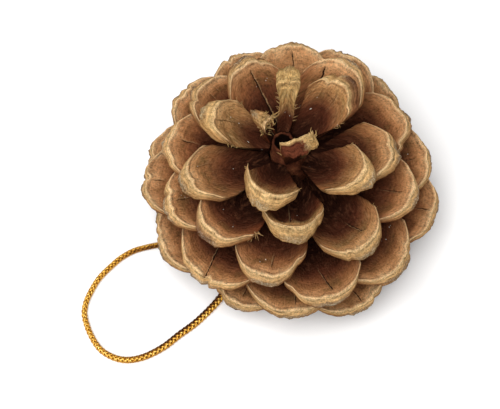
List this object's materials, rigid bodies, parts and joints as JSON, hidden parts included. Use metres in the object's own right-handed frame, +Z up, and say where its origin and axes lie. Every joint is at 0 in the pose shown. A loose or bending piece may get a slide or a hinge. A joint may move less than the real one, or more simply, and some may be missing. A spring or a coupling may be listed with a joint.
{
  "type": "pine cone",
  "caption": "Open pine cone standing on its lowest scales, with a loop of thin gold metallic cord tied round its stem stub.",
  "frame": {"origin": "on the surface the cone stands on, under the middle of the cone's own box, cord left out", "axes": "+Z up along the woody axis from the stem stub to the apex; the cord's loop lies towards -X and -Y"},
  "size_m": [0.0904, 0.078, 0.0533],
  "materials": {
    "scale_wood": "matt dry wood, tan at the rim, brown on the blade and almost black in the hollows",
    "apex_wood": "matt pale straw wood with torn fibres",
    "axis_wood": "matt dark brown wood, rough",
    "gold_cord": "braided metallic thread, bright gold with dark brown gaps"
  },
  "bodies": {
    "root": {"axis": "axis_wood", "cord_knot": "gold_cord", "hanging_cord": "gold_cord", "scale_01": "apex_wood", "scale_04": "apex_wood", "scale_05": "apex_wood", "scale_06": "scale_wood", "scale_07": "scale_wood", "scale_08": "scale_wood", "scale_09": "scale_wood", "scale_10": "scale_wood", "scale_11": "scale_wood", "scale_12": "scale_wood", "scale_13": "scale_wood", "scale_14": "scale_wood", "scale_15": "scale_wood", "scale_16": "scale_wood", "scale_17": "scale_wood", "scale_18": "scale_wood", "scale_19": "scale_wood", "scale_20": "scale_wood", "scale_21": "scale_wood", "scale_22": "scale_wood", "scale_23": "scale_wood", "scale_24": "scale_wood", "scale_25": "scale_wood", "scale_26": "scale_wood", "scale_27": "scale_wood", "scale_28": "scale_wood", "scale_29": "scale_wood", "scale_30": "scale_wood", "scale_31": "scale_wood", "scale_32": "scale_wood", "scale_33": "scale_wood", "scale_34": "scale_wood", "scale_35": "scale_wood", "scale_36": "scale_wood", "scale_37": "scale_wood", "scale_38": "scale_wood", "scale_39": "scale_wood", "scale_40": "scale_wood", "scale_41": "scale_wood", "scale_42": "scale_wood", "scale_43": "scale_wood", "scale_44": "scale_wood", "scale_45": "scale_wood", "scale_46": "scale_wood", "scale_47": "scale_wood", "scale_48": "scale_wood", "scale_49": "scale_wood", "scale_50": "scale_wood", "scale_51": "scale_wood", "scale_52": "scale_wood", "scale_53": "scale_wood", "scale_54": "scale_wood", "scale_55": "scale_wood", "scale_56": "scale_wood", "scale_57": "scale_wood"}
  },
  "joints": []
}
